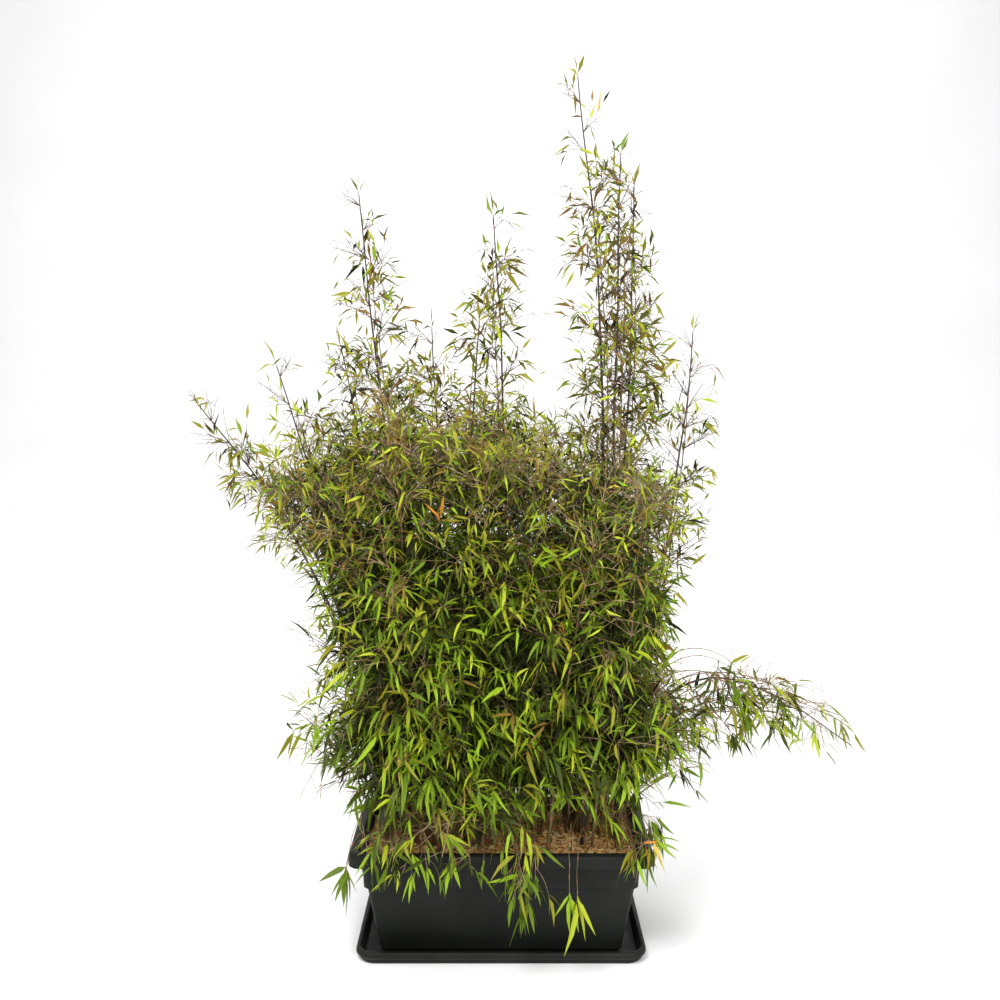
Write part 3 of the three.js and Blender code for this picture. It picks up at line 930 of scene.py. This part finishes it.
def rounded_profile(profile, radius=0.0022, steps=3):
    """The same outline with each of its inner corners rounded off by a small arc."""
    out = [profile[0]]
    for before, here, after in zip(profile, profile[1:], profile[2:]):
        before, here, after = (np.array(p) for p in (before, here, after))
        back, on = before - here, after - here
        reach = min(radius, 0.4 * np.linalg.norm(back), 0.4 * np.linalg.norm(on))
        a, b = here + unit(back) * reach, here + unit(on) * reach
        for t in np.linspace(0, 1, steps + 1):
            out.append(tuple((1 - t) ** 2 * a + 2 * t * (1 - t) * here + t**2 * b))
    return out + [profile[-1]]


def tray(name, node, corner, *profile):
    """A moulded tray, the CAD node's own size. Its profile is insets and heights, outside first."""
    low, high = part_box(node)
    half_length, half_depth = high.x, high.y
    rings = []
    for inset, z in rounded_profile([(inset * MM, z * MM) for inset, z in profile]):
        bend = max(corner - 0.4 * inset, TIGHTEST_CORNER)
        rings.append(rounded_ring(half_length - inset, half_depth - inset, bend, low.z + z))
    around = len(rings[0])
    corners = np.array(rings).reshape(-1, 3)
    index = np.arange(len(rings) * around).reshape(len(rings), around)
    after = np.roll(index, -1, axis=1)
    walls = np.stack([index[:-1], after[:-1], after[1:], index[1:]], axis=-1)
    faces = [tuple(f) for f in walls.reshape(-1, 4)]
    faces.append(tuple(int(i) for i in index[0][::-1]))
    faces.append(tuple(int(i) for i in index[-1]))
    mesh = bpy.data.meshes.new(name)
    mesh.from_pydata([tuple(c) for c in corners], [], faces)
    mesh.update()
    mesh.shade_smooth()
    mesh.set_sharp_from_angle(angle=SHARP_EDGE)
    return add(name, mesh)


def planter():
    """Foot, tapered body, collar, rolled rim, and the same again on the inside. Millimetres."""
    low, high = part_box("planter")
    height = (high.z - low.z) / MM
    foot, collar = 76, 196  # the foot's inset, and the height at which the collar starts
    skirt = height - 34  # where the rim's outer wall ends
    return tray(
        "planter_shell", "planter", 0.034,
        (foot + 8, 0), (foot, 6), (45, collar - 4), (36, collar), (34, height - 40), (33, skirt + 3),
        (3, skirt + 3), (3, skirt), (0, skirt), (0, skirt + 4), (0.5, height - 10), (3, height - 3),
        (9, height), (22, height), (26, height - 4), (28, height - 30), (39, collar + 4), (48, collar - 8),
        (foot + 3, 4),
    )


def saucer():
    """A stepped outer wall, a rounded lip and a sloping inner wall. Millimetres."""
    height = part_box("saucer")[1].z / MM
    return tray(
        "saucer_tray", "saucer", 0.046,
        (12, 0), (9, 3), (6, 14), (1.5, 18), (0, 21), (0, height - 8), (2, height - 2), (7, height),
        (12, height - 2), (15, height - 8), (20, 5), (23, 3),
    )


SOIL_GRID = (140, 64)
SOIL_CORNER = 0.02
SOIL_DIP = 0.010  # how much lower the soil is along the walls


def soil_height(x, y):
    """The soil's uneven top, a little lower along the walls."""
    waves = np.sin(31 * x + 2.0) * np.cos(27 * y + 0.7)
    waves = waves + 0.6 * np.sin(63 * x - 41 * y) + 0.4 * np.cos(97 * y + 51 * x)
    edge = np.maximum(np.abs(x) / SOIL_HALF[0], np.abs(y) / SOIL_HALF[1])
    return SOIL_TOP - 0.004 + 0.0035 * waves - SOIL_DIP * np.clip(edge - 0.75, 0, 1) / 0.25


def soil_surface(material):
    """A fine grid over the soil's top, its corners drawn in to the planter's round ones."""
    columns, rows = SOIL_GRID
    sides = [np.linspace(-half, half, count) for half, count in zip(SOIL_HALF, SOIL_GRID)]
    grid = np.stack(np.meshgrid(*sides, indexing="ij"), axis=-1)
    inner = np.array(SOIL_HALF) - SOIL_CORNER
    over = np.abs(grid) - inner
    beyond = np.hypot(*np.moveaxis(np.maximum(over, 0), -1, 0))[..., None]
    in_corner = (over > 0).all(-1, keepdims=True) & (beyond > SOIL_CORNER)
    pull = SOIL_CORNER / np.maximum(beyond, 1e-9)
    grid = np.where(in_corner, np.sign(grid) * (inner + over * pull), grid)
    height = soil_height(grid[..., 0], grid[..., 1]) + RNG.normal(0, 0.0009, SOIL_GRID)
    corners = np.concatenate([grid, height[..., None]], axis=-1).reshape(-1, 3)
    index = np.arange(columns * rows).reshape(SOIL_GRID)
    faces = np.stack([index[:-1, :-1], index[1:, :-1], index[1:, 1:], index[:-1, 1:]], axis=-1)
    return fill_mesh("soil_surface", corners, faces.reshape(-1, 4), [material])


CHIPS, FIBRES = 3400, 1300
MULCH_SHARES = (0.42, 0.12, 0.03, 0.43)  # of the barks, in the order given
MULCH_CLEAR = 0.006  # the splinters end this far from the planter's wall


def mulch(materials):
    """Shredded bark on the soil: flat splinters with pointed ends, and thin fibres among them."""
    count = CHIPS + FIBRES
    fibre = np.arange(count) >= CHIPS
    x = RNG.uniform(-1, 1, count) * (SOIL_HALF[0] - 2 * MULCH_CLEAR)
    y = RNG.uniform(-1, 1, count) * (SOIL_HALF[1] - 2 * MULCH_CLEAR)
    length = np.where(fibre, RNG.uniform(0.018, 0.05, count), RNG.uniform(0.006, 0.024, count))
    width = np.where(fibre, RNG.uniform(0.0006, 0.0012, count), RNG.uniform(0.002, 0.0065, count))
    thick = np.where(fibre, width, width * RNG.uniform(0.25, 0.6, count))
    yaw = RNG.uniform(0, 2 * math.pi, count)
    pitch = RNG.normal(0, 0.28, count)
    along = np.stack([np.cos(yaw) * np.cos(pitch), np.sin(yaw) * np.cos(pitch), np.sin(pitch)], axis=1)
    lean = UP + RNG.normal(0, 0.3, (count, 3))
    side = unit(np.cross(along, lean))
    top = np.cross(side, along)
    lift = np.abs(np.sin(pitch)) * length / 2 + RNG.uniform(0, 0.004, count)
    middle = np.stack([x, y, soil_height(x, y) + lift], axis=1)
    reach = np.array(SOIL_HALF) - MULCH_CLEAR
    spill = np.abs(middle[:, :2]) + np.abs(along[:, :2]) * length[:, None] / 2 - reach
    middle[:, :2] -= np.sign(middle[:, :2]) * np.maximum(spill, 0)
    rows = []
    for at, wide in ((-0.5, 0.35), (0.05, 1.0), (0.5, 0.25)):
        centre = middle + along * (at * length)[:, None]
        for u, v in ((-1, -1), (1, -1), (0.8, 1), (-0.8, 1)):
            sideways, upwards = u * wide * width / 2, v * wide * thick / 2
            rows.append(centre + side * sideways[:, None] + top * upwards[:, None])
    corners = np.stack(rows, axis=1)
    pattern = []
    for level in range(2):
        for k in range(4):
            a, b = 4 * level + k, 4 * level + (k + 1) % 4
            pattern.append((a, b, b + 4, a + 4))
    pattern += [(3, 2, 1, 0), (8, 9, 10, 11)]
    faces = (np.array(pattern)[None] + 12 * np.arange(count)[:, None, None]).reshape(-1, 4)
    slots = np.repeat(RNG.choice(len(materials), count, p=MULCH_SHARES), len(pattern))
    return fill_mesh("mulch", corners.reshape(-1, 3), faces, materials, slots, smooth=False)


# ---- putting it together ----


KNOT_HALF = 0.22  # half the height of the raised ring at a node, over the step of the cane's line
KNOT_GROWS = 1.42
TIP_NARROWS = 0.3


def cane_mesh(name, canes, materials, sides=8):
    """Canes as one mesh: tubes in the first material, with raised rings at the nodes in the second."""
    corners, faces, slots, first = [], [], [], 0
    for c in canes:
        line, radius = c["line"], c["radius"]
        points = np.arange(len(line), dtype=float)
        knots = np.array([i for i in c["nodes"] if 0 < i < len(line) - 1], dtype=int)
        along = np.concatenate([points, knots - KNOT_HALF, knots + KNOT_HALF])
        grow = np.ones(len(along))
        grow[knots] = KNOT_GROWS
        ring = np.zeros(len(along), bool)
        ring[knots] = True
        order = np.argsort(along)
        along, grow, ring = along[order], grow[order], ring[order]
        middle = np.stack([np.interp(along, points, line[:, k]) for k in range(3)], axis=1)
        size = np.interp(along, points, radius) * grow
        size[-1] *= TIP_NARROWS
        v, f = tubes(middle[None], size[None], sides)
        near = ring[:-1] | ring[1:]
        corners.append(v)
        faces.append(f + first)
        slots.append(np.repeat(near.astype(int), sides))
        first += len(v)
    corners, faces, slots = (np.concatenate(parts) for parts in (corners, faces, slots))
    return fill_mesh(name, corners, faces, materials, slots)


def finish_piece(piece, nodes=()):
    """Tells the frame what a piece rides on, and hides the CAD nodes it replaces."""
    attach(piece, "root")
    if nodes:
        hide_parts(*nodes)


def build_pot():
    plastic = plastic_material()
    for piece, node in ((planter(), "planter"), (saucer(), "saucer")):
        piece.data.materials.append(plastic)
        finish_piece(piece, [node])
    earth = mulch_material("soil_crumb", srgb(132, 94, 50), srgb(186, 140, 80))
    finish_piece(soil_surface(earth), ["soil"])
    barks = [mulch_material("mulch_orange", srgb(226, 160, 74), srgb(250, 208, 124)),
             mulch_material("mulch_red", srgb(168, 92, 48), srgb(214, 136, 76)),
             mulch_material("mulch_dark", srgb(84, 56, 34), srgb(140, 98, 60)),
             mulch_material("mulch_straw", srgb(232, 198, 130), srgb(250, 230, 180))]
    finish_piece(mulch(barks))


def shade(points, crown):
    """How shaded each point is, from 0 at the crown's surface and its top to 1 deep inside."""
    first, last = SHADE_DEPTH
    deep = np.clip((crown.deep(points) - first) / (last - first), 0, 1)
    return deep * np.clip((SHADE_FREE_HEIGHT - points[:, 2]) / SHADE_FADES, 0, 1)


def deal_colours(dark, kind):
    """The number of a leaf colour for each spray, from the colours of lit leaves and the painted shade of
    shaded ones.
    """
    lit = np.array([DEALT[k] for k in KIND_NAMES], float)
    lit /= lit.sum(1, keepdims=True)
    shaded = np.array(SHADED, float) / sum(SHADED)
    dark = MOST_SHADED * dark[:, None]
    weights = lit[kind] * (1 - dark) + shaded * dark
    dealt = (RNG.random(len(kind))[:, None] > np.cumsum(weights, axis=1)).sum(1)
    return np.minimum(dealt, len(SHADED) - 1)


def wood_piece(name, lines, radii, kind, crown, materials):
    """Thin three-sided limbs as one mesh, in the barks of lit branches, their tan lightened by painted
    light, of shaded ones, darkened by painted shade, and of spire branches.
    """
    corners, faces = tubes(lines, radii, 3)
    bark = np.where(kind == KIND_NAMES.index("plume"), 2, shade(lines[:, -1], crown) > BARK_PAINTED_SHADE_FROM)
    slots = np.repeat(bark, 3 * (lines.shape[1] - 1))
    finish_piece(fill_mesh(name, corners, faces, materials, slots))


def leaf_piece(name, leaves, colour, materials, kinds, sections, among, replaced):
    """One piece of the leaves of some kinds, among those marked."""
    chosen = among & np.isin(leaves["kind"], kind_numbers(*kinds))
    some = {key: value[chosen] for key, value in leaves.items()}
    finish_piece(leaf_mesh(name, some, colour[chosen], materials, sections), replaced)


# The pieces of leaves that show: name, kinds, slot and shape. Each replaces the masses of its kinds.
LEAF_PIECES = (
    ("leaves_spires", ["plume", "tip"], "spire_leaves", LEAF_SMALL),
    ("leaves_crown", ["crown"], "leaves", LEAF_SMALL),
    ("leaves_waist", ["waist"], "leaves", LEAF_LARGE),
    ("leaves_low", ["low"], "leaves", LEAF_LARGE),
    ("leaves_edge", ["side", "bough", "drape", "spray"], "leaves", LEAF_LARGE),
)
BRANCH_TAPER = np.linspace(1, 0.5, BRANCH_POINTS)
TWIG_RADII = (0.0008, 0.0005)


def build_plant():
    crown = Crown()
    main = main_canes()
    inner = stub_canes() + grown_canes(crown)
    node_bark = bark_material("cane_node", srgb(124, 70, 46), srgb(172, 112, 76))
    dark = bark_material("cane_dark", srgb(36, 27, 25), srgb(68, 50, 40))
    green = bark_material("cane_green", srgb(84, 74, 36), srgb(124, 112, 62))
    finish_piece(cane_mesh("canes", main, [dark, node_bark]), CANES)
    finish_piece(cane_mesh("canes_inner", inner, [green, node_bark], sides=4), STUBS)

    canes = main + inner
    line, thick, kind = branches(*cane_nodes(canes, crown), crown)
    twig, twig_kind, bare, bare_kind = twigs_on(line, kind, crown)
    ends, end_kind = cane_ends(canes, crown, len(main))
    twig, twig_kind = np.concatenate([twig, ends]), np.concatenate([twig_kind, end_kind])
    leaves = leaves_on(twig, twig_kind, crown)

    # The second bark is a shaded copy of the first, painted shade for wood deep in the crown; the first
    # bark's pale tan is partly real and partly painted light.
    woods = [bark_material("branch_bark", srgb(100, 76, 52), srgb(192, 164, 120), 60.0),
             bark_material("branch_bark_inner", srgb(48, 36, 24), srgb(84, 66, 44), 60.0),
             bark_material("branch_bark_spire", srgb(52, 32, 26), srgb(118, 82, 60), 60.0)]
    wood_piece("branches", line, thick[:, None] * BRANCH_TAPER, kind, crown, woods)
    twigs, kinds = np.concatenate([twig, bare]), np.concatenate([twig_kind, bare_kind])
    wood_piece("twigs", twigs, np.tile(TWIG_RADII, (len(twigs), 1)), kinds, crown, woods)

    materials = [leaf_material(n, c) for n, c in LEAF_COLOURS.items()]
    # leaf colours dealt by spray; sprays deep in the crown get painted shade
    colour = deal_colours(shade(twig[:, 1], crown), twig_kind)[leaves["spray"]]
    hidden = shade(leaves["start"], crown) > HIDDEN_SHADE
    for name, kinds, slot, sections in LEAF_PIECES:
        replaced = [n for n in MASSES if kind_of(n) in kinds]
        leaf_piece(name, leaves, colour, materials, kinds, sections, ~hidden, replaced)
    leaf_piece("leaves_inner", leaves, colour, materials, KIND_NAMES, LEAF_SMALL, hidden, [])


def area_light(name, place, target, size, power):
    data = bpy.data.lights.new(name, "AREA")
    data.size = size
    data.energy = power
    light = add(name, data)
    light.location = place
    light.rotation_euler = (Vector(target) - Vector(place)).to_track_quat("-Z", "Y").to_euler()


FLOOR_HALF = 12.0
FLOOR_PROFILE = ((-6.0, 0.0), (5.0, 0.0), (6.2, 0.18), (7.2, 0.7), (7.9, 1.6), (8.2, 3.0), (8.2, 9.0))
EYE = (-0.0028, -2.85, 1.596)
LOOKS_DOWN = 7.94  # degrees
LENS = 39.6


def build_stage():
    """A pale floor that turns up into a backdrop far behind, soft light, and the camera at eye height."""
    s = Surface("floor_pale", srgb(246, 246, 246), 0.9)
    s.mottle(s.noise(1.2, 3.0), (0.3, srgb(244, 244, 244)), (0.7, srgb(248, 248, 248)))
    corners = [(x, y, z) for y, z in FLOOR_PROFILE for x in (-FLOOR_HALF, FLOOR_HALF)]
    faces = [(2 * i, 2 * i + 1, 2 * i + 3, 2 * i + 2) for i in range(len(FLOOR_PROFILE) - 1)]
    mesh = bpy.data.meshes.new("floor")
    mesh.from_pydata(corners, [], faces)
    mesh.shade_smooth()
    mesh.materials.append(s.material)
    add("floor", mesh)

    world = bpy.data.worlds.new("studio")
    world.use_nodes = True
    background = world.node_tree.nodes["Background"]
    background.inputs["Color"].default_value = (1.0, 1.0, 1.0, 1.0)
    background.inputs["Strength"].default_value = 0.62
    bpy.context.scene.world = world
    area_light("key", (-1.1, -2.4, 4.6), (0.1, 0.0, 0.9), 2.0, 192)
    area_light("top", (0.4, 0.6, 5.2), (0.0, 0.0, 0.8), 2.6, 110)
    area_light("backdrop", (0.0, 4.0, 4.8), (0.0, 8.2, 2.4), 6.0, 175)
    area_light("fill", (1.1, -3.3, 1.9), (0.1, 0.0, 0.3), 1.6, 54)

    camera = add("camera", bpy.data.cameras.new("camera"))
    camera.data.lens = LENS
    camera.location = EYE
    camera.rotation_euler = (math.radians(90 - LOOKS_DOWN), 0, 0)
    bpy.context.scene.camera = camera
    bpy.context.scene.view_settings.view_transform = "Standard"


build_pot()
build_plant()
build_stage()
